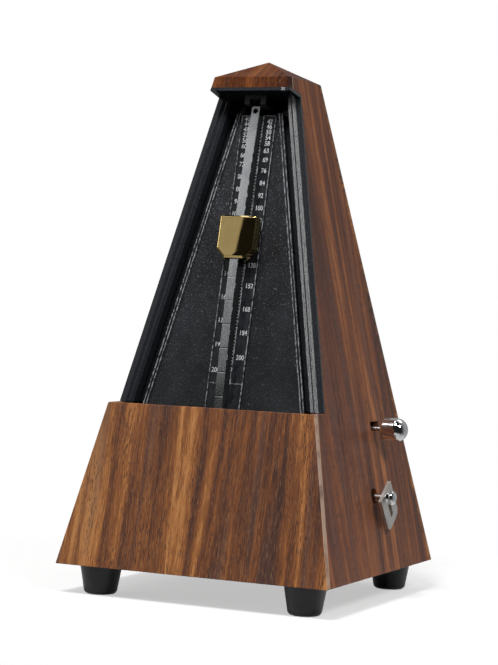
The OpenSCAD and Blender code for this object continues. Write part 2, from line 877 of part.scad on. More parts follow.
module click() {
    to_key = dir(click_p, key_p);
    reach = norm(click_p - key_p) - ratchet_r - click_gap;
    color(steel) lift() along_x(ratchet_x, click_p) difference() {
        linear_extrude(ratchet_t) rotate(to_key) union() {
            circle(r = click_r);
            polygon([[0, click_r], [0, -click_r], [reach, -click_r + 0.2], [reach, -click_r + 1]]);
        }
        translate([0, 0, -1]) cylinder(r = bracket_screw_r + run_gap, h = ratchet_t + 2);
    }
}

module click_screw() {
    head_x = ratchet_x + ratchet_t + screw_gap;
    color(steel) lift() along_x(head_x, click_p) mirror([0, 0, 1])
        screw(bracket_screw_r, head_x - mplate_right);
}

module click_spring() {
    y0 = click_r + click_spring_t;
    color(steel) lift() along_x(ratchet_x, click_p) linear_extrude(ratchet_t)
        rotate(dir(click_p, key_p)) {
            translate([-9, y0]) square([10, click_spring_t]);
            translate([-9, y0]) square([2.5, 2]);
        }
}

module spring_barrel() {
    color(brass) lift() along_x(barrel_x, key_p) difference() {
        cylinder(r = barrel_r, h = barrel_len);
        translate([0, 0, 1]) cylinder(r = barrel_r - 1, h = barrel_len);
        translate([0, 0, -1]) cylinder(r = wind_r + run_gap, h = 3);
    }
}

module barrel_cover() {
    color(brass) lift() along_x(great_x - 1.2, key_p) difference() {
        cylinder(r = barrel_r - 1, h = 1.2);
        translate([0, 0, -1]) cylinder(r = wind_r + run_gap, h = 4);
    }
}

module mainspring() {
    r0 = wind_r * 2 + 0.5;
    r1 = barrel_r - 1.4;
    strip = 0.5;
    steps = spring_turns * 20;
    inner = [for (i = [0 : steps]) polar([0, 0], r0 + (r1 - r0 - strip) * i / steps, i * 18)];
    outer = [for (i = [steps : -1 : 0]) polar([0, 0], r0 + strip + (r1 - r0 - strip) * i / steps, i * 18)];
    color([0.3, 0.35, 0.5]) lift() along_x(barrel_x + 1.6, key_p)
        linear_extrude(barrel_len - 3.4) polygon(concat(inner, outer));
}

// Going train

module great_wheel() {
    color(brass) lift() along_x(great_x, key_p) difference() {
        rotate(dir(key_p, second_p)) gear(great_n, great_mod, great_t, wind_r + run_gap);
        crossings(5, great_pr - 2.6, great_t, 6);
    }
}

module train_arbor(x0, x1, p) {
    color(steel) lift() along_x(x0, p) cylinder(r = arbor_r, h = x1 - x0);
}

module second_arbor() {
    train_arbor(mplate_left - mplate_t, mplate_right + mplate_t, second_p);
}

module second_pinion() {
    color(steel) lift() along_x(great_x - 0.4, second_p)
        rotate(dir(second_p, key_p) + mesh_turn(second_pinion_n))
            gear(second_pinion_n, great_mod, great_t + 0.8, arbor_r + eps);
}

module second_wheel() {
    color(brass) lift() along_x(second_wheel_x, second_p) difference() {
        rotate(dir(second_p, escape_p)) gear(second_n, second_mod, second_wheel_t, arbor_r + eps);
        crossings(2.6, second_mod * second_n / 2 - 2, second_wheel_t, 5);
    }
}

module escape_arbor() {
    train_arbor(mplate_left - mplate_t, escape_tip_x - escape_len + 1.4, escape_p);
}

module escape_pinion() {
    color(steel) lift() along_x(second_wheel_x - 0.6, escape_p)
        rotate(dir(escape_p, second_p) + mesh_turn(escape_pinion_n))
            gear(escape_pinion_n, second_mod, second_wheel_t + 1.2, arbor_r + eps);
}

module escape_wheel() {
    step = 360 / escape_n;
    pitch = 2 * escape_r * sin(step / 2);
    color(brass) lift() along_x(escape_tip_x - escape_len, escape_p) difference() {
        cylinder(r = escape_r, h = escape_len);
        translate([0, 0, 0.9]) cylinder(r = escape_r - 0.9, h = escape_len);
        translate([0, 0, -1]) cylinder(r = arbor_r + eps, h = 4);
        for (i = [0 : escape_n - 1]) {
            rotate(i * step) translate([escape_r - 2, 0, 0]) rotate([90, 0, 90])
                linear_extrude(4) polygon([[-pitch * 0.42, escape_len + 1], [pitch * 0.1, 1.8],
                    [pitch * 0.45, escape_len * 0.75], [pitch * 0.45, escape_len + 1]]);
        }
    }
}

module pendulum_arbor() {
    color(steel) lift() at_pivot() along_y(-1.5) cylinder(r = swing_r, h = bridge_t1 + 2.5);
}

module verge_pallets() {
    reach = -escape_tip_x - 0.35;
    color(steel) lift() at_pivot() for (side = [-1, 1]) {
        t = escape_back + side * (escape_r - 0.45);
        along_y(t - 0.8) difference() {
            union() {
                cylinder(r = swing_r + 0.5, h = 1.6);
                rotate(180 + side * 42) translate([0, -0.3, 0]) cube([reach, 0.6, 1.6]);
            }
            translate([0, 0, -1]) cylinder(r = swing_r + eps, h = 4);
        }
    }
}

// Bell work

module bell_drum_arbor() {
    train_arbor(mplate_left - mplate_t, mplate_right + mplate_t, drum_p);
}

module bell_drum_gear() {
    color(brass) lift() along_x(great_x - 0.2, drum_p)
        rotate(dir(drum_p, key_p) + mesh_turn(drum_n) + drum_phase)
            gear(drum_n, great_mod, great_t + 0.4, arbor_r + eps);
}

module bell_cams() {
    color(brass) lift() along_x(0, drum_p) difference() {
        union() {
            cylinder(r = 2, h = 4 * pull_step + cam_t);
            for (i = [1 : 4]) {
                translate([0, 0, i * pull_step - cam_t / 2]) linear_extrude(cam_t)
                    cam_outline([2, 3, 4, 6][i - 1]);
            }
        }
        translate([0, 0, -1]) cylinder(r = arbor_r + eps, h = 4 * pull_step + cam_t + 2);
    }
}

module cam_outline(lobes) {
    circle(r = 3.2);
    for (i = [0 : lobes - 1]) {
        rotate(i * 360 / lobes) polygon([[2, -1.4], [cam_r, -0.4], [cam_r, 0.4], [2, 1.4]]);
    }
}

module bell_pull_rod() {
    len = knob_x - pull_x0;
    color(steel) lift() along_x(0, pull_p) difference() {
        union() {
            translate([0, 0, pull_x0]) cylinder(r = pull_r, h = len + 2);
            for (x = [-collar_x[0], collar_x[1]]) {
                translate([0, 0, x]) cylinder(r = 1.9, h = collar_t);
            }
        }
        for (i = [0 : 4]) {
            translate([0, 0, hw(pull_z) - board_t / 2 - i * pull_step]) rotate_extrude()
                polygon([[pull_r - 0.25, 0], [pull_r + 1, -1.25], [pull_r + 1, 1.25]]);
        }
    }
}

module bell_pull_knob() {
    dome = knob_r * 0.95;
    color(steel) lift() along_x(knob_x, pull_p) difference() {
        rotate_extrude() polygon(concat(
            [[0, 0], [knob_r - 1.3, 0], [knob_r - 0.45, 0.35], [knob_r, 1.2]],
            [for (a = [0 : 7.5 : 90]) [knob_r * cos(a), knob_len - dome + dome * sin(a)]]
        ), $fn = 96);
        translate([0, 0, -1]) cylinder(r = pull_r + eps, h = 3 + eps);
    }
}

module hammer() {
    tail = norm(drum_p - pull_p) - cam_r - tail_gap;
    color(brass) lift() along_x(0, pull_p) difference() {
        union() {
            translate([0, 0, -2]) cylinder(r = 2.6, h = 4);
            rotate([0, 90, hammer_angle]) cylinder(r = hammer_wire_r, h = head_at);
            translate([0, 0, -cam_t / 2]) linear_extrude(cam_t) rotate(dir(pull_p, drum_p))
                polygon([[0, -1.6], [tail, -0.6], [tail, 0.6], [0, 1.6]]);
        }
        translate([0, 0, -3]) cylinder(r = pull_r + run_gap, h = 6);
    }
}

module hammer_head() {
    grip = 0.8;
    color(steel) lift() along_x(0, pull_p) rotate([0, 90, hammer_angle])
        translate([0, 0, head_at - grip]) difference() {
            cylinder(r = hammer_r, h = head_len);
            translate([0, 0, -1]) cylinder(r = hammer_wire_r + eps, h = 1 + grip);
        }
}

module hammer_spring() {
    color(steel) lift() along_x(0, pull_p) for (i = [0 : 2]) {
        translate([0, 0, spring_x0 + i * spring_pitch]) rotate_extrude()
            translate([spring_r, 0]) circle(r = spring_wire_r, $fn = 24);
    }
}

module bell() {
    round = 5;
    inner = round - bell_t;
    wall = bell_h - round;
    color(steel) lift() translate([bell_p[0], bell_p[1], bell_z]) rotate_extrude($fn = 96)
        polygon(concat(
            [[bell_r - bell_t, 0], [bell_r, 0]],
            [for (a = [0 : 15 : 90]) [bell_r - round + round * cos(a), wall + round * sin(a)]],
            [[bell_post_r + screw_gap, bell_h], [bell_post_r + screw_gap, bell_h - bell_t]],
            [for (a = [90 : -15 : 0]) [bell_r - round + inner * cos(a), wall + inner * sin(a)]]
        ));
}

module bell_bracket() {
    x0 = mplate_left - mplate_t - bracket_t;
    color(brass) lift() difference() {
        union() {
            box([x0, bracket_y, pull_z - bracket_drop],
                [x0 + bracket_t, bracket_y + bracket_w, bracket_z + bracket_t]);
            box([x0, bracket_y, bracket_z],
                [bell_p[0] + bracket_lap, bell_p[1] + bracket_lap, bracket_z + bracket_t]);
            translate([bell_p[0], bell_p[1], bell_z + bell_h])
                cylinder(r = boss_r, h = bracket_z - bell_z - bell_h + eps);
            translate([bell_p[0], bell_p[1], bracket_z - bell_post_len])
                cylinder(r = bell_post_r, h = bell_post_len + eps);
        }
        for (z = bracket_screw_z) {
            along_x(x0 - 1, [bracket_y + bracket_w / 2, z])
                cylinder(r = bracket_screw_r + run_gap, h = 5);
        }
    }
}

module bell_nut() {
    color(steel) lift() translate([bell_p[0], bell_p[1], bell_z + bell_h - bell_t - nut_h]) difference() {
        cylinder(r = bell_post_r * 2, h = nut_h, $fn = 6);
        translate([0, 0, -1]) cylinder(r = bell_post_r + eps, h = nut_h + 2, $fn = 48);
    }
}

// Pendulum

// Angle of a point of the bowed rod round the bow's centre
function bow_angle(u) = asin((u - rod_bow_u) / bow_r);

module pendulum_rod() {
    a0 = bow_angle(rod_start_u);
    color([0.85, 0.85, 0.86]) lift() on_face() difference() {
        translate([0, rod_bow_d + bow_r, rod_bow_u]) rotate([90, 0, -90]) rotate([0, 0, a0])
            rotate_extrude(angle = bow_angle(tip_u) - a0, $fn = 1440)
                translate([bow_r, 0]) square([rod_t, rod_w], center = true);
        translate([0, 0, tip_u - 2]) along_y(0) cylinder(r = 0.8, h = 20);
        translate([0, 0, pivot_u]) along_y(0) cylinder(r = swing_r + eps, h = 20);
    }
}

module pendulum_hub() {
    turn = -bow_angle(pivot_u);
    color(steel) lift() at_pivot() difference() {
        union() {
            along_y(-1.4) cylinder(r = 4.6, h = 3.6);
            box([-arm_w / 2, arm_d[0], -counter_arm - 4], [arm_w / 2, arm_d[1], 0]);
        }
        along_y(-5) cylinder(r = swing_r + eps, h = 10);
        rotate([turn, 0, 0]) box([-rod_w / 2 - run_gap, -rod_t / 2 - 4, -4],
            [rod_w / 2 + run_gap, rod_t / 2 + 3 * run_gap, 8]);
    }
}

module counterweight() {
    color([0.4, 0.4, 0.42]) lift() at_pivot() translate([0, 0, -counter_arm]) difference() {
        along_y(-3.4) cylinder(r = counter_r, h = counter_t);
        box([-arm_w / 2 - eps, arm_d[0] - eps, -4 - eps], [arm_w / 2 + eps, arm_d[1] + eps, counter_r + 1]);
    }
}

function weight_points(inset) = let (w = weight_w / 2 - inset, c = weight_cut - inset * 0.4) [
    [-w + c, weight_u0 + inset], [w - c, weight_u0 + inset], [w, weight_u0 + inset + c],
    [w, weight_u1 - inset], [-w, weight_u1 - inset], [-w, weight_u0 + inset + c]
];

// Plate with an outline on the face, from one depth to another
module face_plate(d0, d1, points) {
    translate([0, d1, 0]) rotate([90, 0, 0]) linear_extrude(d1 - d0) polygon(points);
}

module sliding_weight() {
    color([0.85, 0.68, 0.3]) lift() on_face() difference() {
        union() {
            face_plate(weight_d + weight_bevel, weight_d + weight_t, weight_points(0));
            hull() {
                face_plate(weight_d, weight_d + 0.1, weight_points(weight_bevel));
                face_plate(weight_d + weight_bevel, weight_d + weight_bevel + 0.1, weight_points(0));
            }
        }
        box([-rod_w / 2 - slot_gap, rod_bow_d - rod_t / 2 - 0.3, 0], [rod_w / 2 + slot_gap, 40, big]);
    }
}

module weight_clip() {
    d = weight_d + weight_t;
    u = (weight_u0 + weight_u1) / 2;
    color(steel) lift() on_face() box([-5, d, u - 4.5], [5, d + clip_t, u + 4.5]);
}

front_base_panel();
left_side_panel();
right_side_panel();
back_panel();
hood();
front_frame();
dial_panel();
scale_plate();
pendulum_catch();
bottom_plate();
corner_blocks();
foot(0);  // foot_front_left
foot(1);  // foot_back_left
foot(2);  // foot_front_right
foot(3);  // foot_back_right
foot_screws();
left_movement_plate();
right_movement_plate();
movement_pillars();
movement_screws();
pendulum_bridge();
escape_cock();
bracket_screws();
winding_arbor();
key_shaft();
key_plate();
key_nut();
ratchet_wheel();
click();
click_spring();
click_screw();
spring_barrel();
barrel_cover();
mainspring();
great_wheel();
second_arbor();
second_pinion();
second_wheel();
escape_arbor();
escape_pinion();
escape_wheel();
bell_drum_arbor();
bell_drum_gear();
bell_cams();
bell_pull_rod();
bell_pull_knob();
hammer();
hammer_head();
hammer_spring();
bell();
bell_bracket();
bell_nut();
pendulum_arbor();
verge_pallets();
pendulum_rod();
pendulum_hub();
counterweight();
sliding_weight();
weight_clip();
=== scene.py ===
import json
from math import cos, pi, radians, sin, sqrt

import bpy
from mathutils import Matrix, Vector


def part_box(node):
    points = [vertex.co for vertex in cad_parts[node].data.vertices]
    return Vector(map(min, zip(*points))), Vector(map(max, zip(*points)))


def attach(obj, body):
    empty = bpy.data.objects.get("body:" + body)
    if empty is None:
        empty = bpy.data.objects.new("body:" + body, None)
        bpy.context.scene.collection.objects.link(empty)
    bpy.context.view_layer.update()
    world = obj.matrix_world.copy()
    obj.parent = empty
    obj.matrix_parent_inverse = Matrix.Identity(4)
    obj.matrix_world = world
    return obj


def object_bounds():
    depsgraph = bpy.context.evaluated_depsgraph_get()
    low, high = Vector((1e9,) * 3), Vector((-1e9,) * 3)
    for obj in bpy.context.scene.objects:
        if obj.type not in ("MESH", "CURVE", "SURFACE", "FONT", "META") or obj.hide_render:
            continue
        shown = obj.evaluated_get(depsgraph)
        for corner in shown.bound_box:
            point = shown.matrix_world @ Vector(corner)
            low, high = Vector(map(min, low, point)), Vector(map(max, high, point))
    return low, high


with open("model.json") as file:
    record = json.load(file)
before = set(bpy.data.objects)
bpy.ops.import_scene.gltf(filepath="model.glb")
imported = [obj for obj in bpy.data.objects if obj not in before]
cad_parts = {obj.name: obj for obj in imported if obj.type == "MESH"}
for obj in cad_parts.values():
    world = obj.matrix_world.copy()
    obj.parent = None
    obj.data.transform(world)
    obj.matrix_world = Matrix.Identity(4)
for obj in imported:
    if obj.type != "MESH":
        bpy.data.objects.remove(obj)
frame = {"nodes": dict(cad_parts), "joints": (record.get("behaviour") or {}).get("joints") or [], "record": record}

MM = 0.001
CAD_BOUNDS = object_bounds()
JOINTS = {joint["name"]: joint for joint in frame["joints"]}

# The sloping front face: x runs to the right, UP up the face and DEPTH into the case.
DEPTH = Vector(JOINTS["pendulum_swing"]["axis"])
UP = Vector(JOINTS["weight_slide"]["axis"])
PIVOT = Vector(JOINTS["pendulum_swing"]["pos_m"])
RIGHT = Vector((1, 0, 0))

# Constants, in millimetres and seconds, that fix where the weight sits for each tempo
GRAVITY = 9810
LEVER = 140.7
INERTIA = 8816

# Ends of the tempo scale, in beats a minute
SLOWEST = 40
FASTEST = 208

# Height of the raised lines and numbers, in millimetres
DIAL_RIB = 0.5
SCALE_RIB = 0.25

# Rounding of sharp edges, in millimetres
BOARD_ROUNDING = 0.3
WEIGHT_ROUNDING = 0.22

# Camera beside the front right corner: angles in radians, lengths in metres, the lens in millimetres
CAMERA_AZIMUTH = 0.42642
CAMERA_ELEVATION = 0.016982
CAMERA_ROLL = 0.038643
CAMERA_DISTANCE = 0.84002
CAMERA_SIDE = -0.003913
CAMERA_HEIGHT = 0.105406
CAMERA_LENS = 111.63


# Places on the face

def depth_range(node):
    """Least and greatest depth of a node's points, along the face's normal."""
    depths = [v.co.dot(DEPTH) for v in frame["nodes"][node].data.vertices]
    return min(depths), max(depths)


def face_matrix(x, depth, up):
    """Frame on the face: x to the right, y up the face, z out of it."""
    place = RIGHT * x + DEPTH * depth + UP * up
    turn = Matrix((RIGHT, UP, -DEPTH)).transposed().to_4x4()
    return Matrix.Translation(place) @ turn


def tempo_radius(bpm):
    """Distance above the swing axis, in metres, of the weight's top edge at a tempo."""
    swing = GRAVITY * (120 / bpm) ** 2 / (4 * pi ** 2)
    return (sqrt(swing * swing / 4 + swing * LEVER - INERTIA) - swing / 2) * MM


# Shader nodes

class Material:
    """A node material with short calls for the textures it is built from."""

    def __init__(self, name, **sockets):
        self.material = bpy.data.materials.new(name)
        self.material.use_nodes = True
        self.tree = self.material.node_tree
        self.shader = self.tree.nodes["Principled BSDF"]
        for socket, value in sockets.items():
            self.set(socket.replace("_", " "), value)

    def set(self, socket, value):
        """A constant goes on the shader's own socket, anything else is linked to it."""
        target = self.shader.inputs[socket]
        if isinstance(value, bpy.types.NodeSocket):
            self.tree.links.new(value, target)
        else:
            target.default_value = (*value, 1) if isinstance(value, tuple) else value

    def node(self, kind, inputs=(), **settings):
        made = self.tree.nodes.new("ShaderNode" + kind)
        for setting, value in settings.items():
            setattr(made, setting, value)
        for socket, value in dict(inputs).items():
            if isinstance(value, bpy.types.NodeSocket):
                self.tree.links.new(value, made.inputs[socket])
            else:
                made.inputs[socket].default_value = value
        return made

    def math(self, operation, *values):
        return self.node("Math", dict(enumerate(values)), operation=operation).outputs[0]

    def coordinates(self):
        """Object coordinates in millimetres."""
        raw = self.node("TexCoord").outputs["Object"]
        return self.node("VectorMath", {0: raw, 3: 1 / MM}, operation="SCALE").outputs[0]

    def along(self, axis):
        """Coordinate along an axis, in millimetres."""
        dot = self.node("VectorMath", {0: self.coordinates(), 1: tuple(axis)}, operation="DOT_PRODUCT")
        return dot.outputs["Value"]

    def vector(self, x, y, z):
        return self.node("CombineXYZ", {"X": x, "Y": y, "Z": z}).outputs[0]

    def stretched(self, sizes, shift=0.0):
        """Coordinates divided by a feature size on each axis, in millimetres."""
        return self.node("VectorMath", {
            0: self.coordinates(), 1: tuple(1 / size for size in sizes), 2: (shift, shift, shift),
        }, operation="MULTIPLY_ADD").outputs[0]

    def noise(self, vector, detail=2.0, roughness=0.5):
        return self.node("TexNoise", {
            "Vector": vector, "Scale": 1.0, "Detail": detail, "Roughness": roughness,
        }).outputs[0]

    def cells(self, vector):
        return self.node("TexVoronoi", {"Vector": vector, "Scale": 1.0}).outputs[0]

    def between(self, value, low, high, to_low=0.0, to_high=1.0):
        """Smooth step of a value from one pair of limits to another."""
        return self.node("MapRange", {
            "Value": value, "From Min": low, "From Max": high, "To Min": to_low, "To Max": to_high,
        }, interpolation_type="SMOOTHSTEP").outputs[0]

    def ramp(self, value, stops):
        made = self.node("ValToRGB", {"Fac": value})
        elements = made.color_ramp.elements
        while len(elements) < len(stops):
            elements.new(0.5)
        for element, (place, colour) in zip(elements, stops):
            element.position = place
            element.color = (*colour, 1)
        return made.outputs[0]

    def mix(self, amount, first, second, blend="MIX"):
        made = self.node("Mix", data_type="RGBA", blend_type=blend)
        for socket, value in ((0, amount), (6, first), (7, second)):
            if isinstance(value, bpy.types.NodeSocket):
                self.tree.links.new(value, made.inputs[socket])
            else:
                made.inputs[socket].default_value = (*value, 1) if isinstance(value, tuple) else value
        return made.outputs[2]

    def bump(self, height, distance, strength=1.0):
        """Relief of a height, over a distance in millimetres."""
        inputs = {"Height": height, "Distance": distance * MM, "Strength": strength}
        return self.node("Bump", inputs).outputs[0]


# Materials

def walnut(name, across, tone, shift, corner=None, joint=None, painted_underside_shade=False, specular=0.22):
    """Walnut-grained foil: the grain runs up the board, and across is the axis that it crosses."""
    m = Material(name, Specular_IOR_Level=specular)
    sideways = m.along(across)
    height = m.along((0, 0, 1))
    sway_width, sway_length, sway_reach = 46, 130, 16
    place = m.vector(m.math("DIVIDE", sideways, sway_width), m.math("DIVIDE", height, sway_length), shift)
    sway = m.math("SUBTRACT", m.noise(place, 1.5), 0.5)
    sideways = m.math("ADD", sideways, m.math("MULTIPLY", sway, sway_reach))

    def grain(width, length, seed, detail=2.0, roughness=0.5):
        place = m.vector(m.math("DIVIDE", sideways, width), m.math("DIVIDE", height, length), shift + seed)
        return m.noise(place, detail, roughness)

    bands = grain(10, 260, 3, 1.5)
    streaks = grain(2.6, 110, 7, 3, 0.6)
    fibres = grain(0.48, 8, 11, 2, 0.65)
    figure = m.math("ADD", m.math("MULTIPLY", bands, 0.42), m.math("MULTIPLY", streaks, 0.34))
    figure = m.math("ADD", figure, m.math("MULTIPLY", fibres, 0.24))
    warm = m.ramp(figure, [
        (0.39, (0.052, 0.026, 0.024)), (0.44, (0.098, 0.041, 0.027)), (0.485, (0.160, 0.062, 0.029)),
        (0.53, (0.215, 0.087, 0.036)), (0.57, (0.330, 0.145, 0.056)), (0.63, (0.430, 0.215, 0.095)),
    ])
    purple = m.between(grain(5.5, 190, 17, 2), 0.52, 0.68, 0, 0.55)
    colour = m.mix(purple, warm, (0.098, 0.060, 0.058))
    colour = m.mix(1.0, colour, tone, "MULTIPLY")

    pores = m.between(grain(0.30, 2.6, 23, 1), 0.53, 0.66)
    patches = m.between(grain(7, 40, 29, 2), 0.40, 0.60, 0.25, 0.95)
    pores = m.math("MULTIPLY", pores, patches)
    colour = m.mix(m.math("MULTIPLY", pores, 0.85), colour, (0.030, 0.014, 0.011))
    flecks = m.math("MULTIPLY", m.between(grain(0.32, 3.4, 31, 1), 0.60, 0.70), 0.16)
    colour = m.mix(flecks, colour, (0.50, 0.27, 0.125))

    if corner:
        # Pale line where the foil is folded over the corner: worn foil, with a painted highlight along the edge
        half_width, foot, narrowing = corner
        above_foot = m.math("SUBTRACT", height, foot)
        edge = m.math("SUBTRACT", half_width, m.math("MULTIPLY", above_foot, narrowing))
        side = m.math("SUBTRACT", edge, m.math("ABSOLUTE", m.along(across)))
        broken = m.between(grain(4, 6, 37, 3), 0.30, 0.52, 0.35, 1.0)
        pale_line = m.math("MULTIPLY", m.between(side, 0.26, 0.10), broken)
        colour = m.mix(pale_line, colour, (0.40, 0.27, 0.20))
    if joint is not None:
        # Painted shade: darker towards the top of the board, between two heights
        lit_to, darkest_from = 30, 205
        climb = m.between(height, lit_to, darkest_from)
        painted_top_shade = m.ramp(climb, [(0.0, (1, 1, 1)), (1.0, (0.62, 0.56, 0.52))])
        colour = m.mix(1.0, colour, painted_top_shade, "MULTIPLY")
        # Pale cut edge of the foil beside the black rail
        deep = m.along(DEPTH)
        pale_line = m.between(deep, joint + 0.55, joint + 0.25)
        colour = m.mix(m.math("MULTIPLY", pale_line, 0.8), colour, (0.40, 0.27, 0.19))
    if painted_underside_shade:
        # Painted shade: faces that look downwards are made nearly black
        facing = m.node("SeparateXYZ", {0: m.node("TexCoord").outputs["Normal"]}).outputs["Z"]
        below = m.between(facing, -0.3, -0.6)
        colour = m.mix(below, colour, (0.004, 0.004, 0.004))

    m.set("Base Color", colour)
    gloss = m.math("ADD", 0.36, m.math("MULTIPLY", fibres, 0.14))
    m.set("Roughness", m.math("MAXIMUM", gloss, below) if painted_underside_shade else gloss)
    relief = m.math("SUBTRACT", m.math("MULTIPLY", fibres, 0.35), pores)
    m.set("Normal", m.bump(relief, 0.05, 0.5))
    return m.material


def raw_wood(name, light, dark):
    m = Material(name, Specular_IOR_Level=0.25)
    rings = m.noise(m.stretched((2.5, 2.5, 30)), 4, 0.6)
    m.set("Base Color", m.ramp(rings, [(0.3, dark), (0.7, light)]))
    m.set("Roughness", m.between(rings, 0.2, 0.8, 0.6, 0.8))
    m.set("Normal", m.bump(rings, 0.12, 0.5))
    return m.material


def moulding():
    """Black satin plastic with faint draw marks up the rails and a scuffed bevel."""
    m = Material("black_moulding")
    fine = m.noise(m.stretched((0.45, 0.45, 0.45)), 3, 0.6)
    drawn = m.noise(m.stretched((0.5, 0.5, 26)), 2)
    m.set("Base Color", m.ramp(fine, [(0.35, (0.009, 0.010, 0.012)), (0.7, (0.020, 0.022, 0.026))]))
    m.set("Roughness", m.between(m.math("ADD", fine, drawn), 0.7, 1.3, 0.14, 0.28))
    facing = m.node("SeparateXYZ", {0: m.node("TexCoord").outputs["Normal"]}).outputs["Z"]
    m.set("Specular IOR Level", m.between(facing, -0.4, -0.1, 0.04, 0.45))
    # The bevel along each rail's inner edge runs on into the face, between two distances from the corner
    bevel_start, bevel_end, bevel_fall = 2.3, 3.9, 0.56
    half_width, foot, narrowing = case_corner()
    above_foot = m.math("SUBTRACT", m.along((0, 0, 1)), foot)
    corner = m.math("SUBTRACT", half_width, m.math("MULTIPLY", above_foot, narrowing))
    inward = m.math("SUBTRACT", corner, m.math("ABSOLUTE", m.along(RIGHT)))
    fall = m.node("MapRange", {
        "Value": inward, "From Min": bevel_start, "From Max": bevel_end, "To Min": 0.0, "To Max": -bevel_fall,
    }).outputs[0]
    grain = m.math("ADD", m.math("MULTIPLY", fine, 0.7), drawn)
    relief = m.math("ADD", fall, m.math("MULTIPLY", grain, 0.06))
    m.set("Normal", m.bump(relief, 1.0))
    return m.material


def silvered(m, colour, node, rib):
    """Adds worn silver to what stands up from a face by a rib's height."""
    top = depth_range(node)[0] / MM
    raised = m.between(m.along(DEPTH), top + rib * 0.8, top + rib * 0.4)
    rubbed = m.between(m.noise(m.stretched((0.7, 0.7, 2.2), 5), 3, 0.7), 0.42, 0.60, 0.06, 1.0)
    amount = m.math("MULTIPLY", raised, rubbed)
    return m.mix(amount, colour, (0.26, 0.27, 0.285))


def pebbled():
    """Charcoal plastic with the pebbled grain of leather, and small bright specks of painted glints that thin out
    towards the bottom.
    """
    m = Material("dial_black", Specular_IOR_Level=0.20)
    pebbles = m.cells(m.stretched((0.5, 0.5, 0.5)))
    fine = m.noise(m.stretched((0.3, 0.3, 0.3)), 2, 0.6)
    cloud = m.noise(m.stretched((9, 9, 14), 3), 3)
    base = m.ramp(cloud, [(0.35, (0.006, 0.0065, 0.0075)), (0.7, (0.014, 0.015, 0.018))])
    # Painted glints: bright specks, fewer towards the bottom of the dial
    painted_glints = m.between(m.noise(m.stretched((0.42, 0.42, 0.42), 9), 1, 0.4), 0.64, 0.72)
    glints_thin_downwards = m.between(m.along(UP), 60, 190, 0.25, 1.0)
    base = m.mix(m.math("MULTIPLY", painted_glints, glints_thin_downwards), base, (0.17, 0.18, 0.20))
    m.set("Base Color", silvered(m, base, "dial_panel", DIAL_RIB))
    m.set("Roughness", m.between(fine, 0.3, 0.7, 0.30, 0.5))
    height = m.math("ADD", pebbles, m.math("MULTIPLY", fine, 0.4))
    m.set("Normal", m.bump(height, 0.09, 0.8))
    return m.material


def scale_plastic():
    m = Material("scale_black", Specular_IOR_Level=0.35)
    haze = m.noise(m.stretched((2.2, 2.2, 5)), 4, 0.65)
    fine = m.noise(m.stretched((0.22, 0.22, 0.6)), 2)
    base = m.ramp(haze, [(0.35, (0.007, 0.0075, 0.009)), (0.7, (0.020, 0.021, 0.024))])
    m.set("Base Color", silvered(m, base, "scale_plate", SCALE_RIB))
    m.set("Roughness", m.between(haze, 0.3, 0.7, 0.12, 0.22))
    m.set("Normal", m.bump(fine, 0.02, 0.5))
    return m.material


def number_silver():
    m = Material("number_silver", Metallic=0.35)
    rub = m.noise(m.stretched((0.5, 0.5, 0.5), 4), 3, 0.7)
    m.set("Base Color", m.ramp(rub, [(0.36, (0.10, 0.105, 0.11)), (0.50, (0.62, 0.63, 0.65))]))
    m.set("Roughness", m.between(rub, 0.3, 0.7, 0.5, 0.3))
    m.set("Normal", m.bump(rub, 0.04, 0.6))
    return m.material


def plain_plastic(name, dark, light, roughness, size):
    """Satin black plastic or rubber, with grain of a given size."""
    m = Material(name, Specular_IOR_Level=0.45)
    grain = m.noise(m.stretched((size, size, size)), 3, 0.6)
    scuffs = m.noise(m.stretched((7, 7, 4), 2), 4, 0.65)
    m.set("Base Color", m.ramp(scuffs, [(0.35, dark), (0.72, light)]))
    m.set("Roughness", m.between(scuffs, 0.3, 0.7, roughness - 0.06, roughness + 0.1))
    m.set("Normal", m.bump(grain, 0.05, 0.6))
    return m.material


def brushed(name, dark, light, roughness, sizes, depth=0.02):
    """Metal with fine lines along the axis whose size is longest."""
    m = Material(name, Metallic=1.0)
    lines = m.noise(m.stretched(sizes), 3, 0.6)
    stain = m.noise(m.stretched((8, 8, 8), 6), 4, 0.6)
    tone = m.math("ADD", m.math("MULTIPLY", lines, 0.55), m.math("MULTIPLY", stain, 0.45))
    m.set("Base Color", m.ramp(tone, [(0.34, dark), (0.66, light)]))
    m.set("Roughness", m.between(tone, 0.3, 0.7, roughness - 0.07, roughness + 0.09))
    m.set("Normal", m.bump(lines, depth, 0.5))
    return m.material


def polished(name, dark, light, roughness, hairlines=0.003):
    """Plated or polished metal, with faint smudges and hairlines."""
    m = Material(name, Metallic=1.0)
    smudge = m.noise(m.stretched((5, 5, 6), 8), 4, 0.6)
    hair = m.noise(m.stretched((0.12, 0.12, 2.6)), 2, 0.6)
    m.set("Base Color", m.ramp(smudge, [(0.3, dark), (0.62, light)]))
    m.set("Roughness", m.between(smudge, 0.35, 0.75, roughness, roughness * 2))
    m.set("Normal", m.bump(hair, hairlines, 0.3))
    return m.material


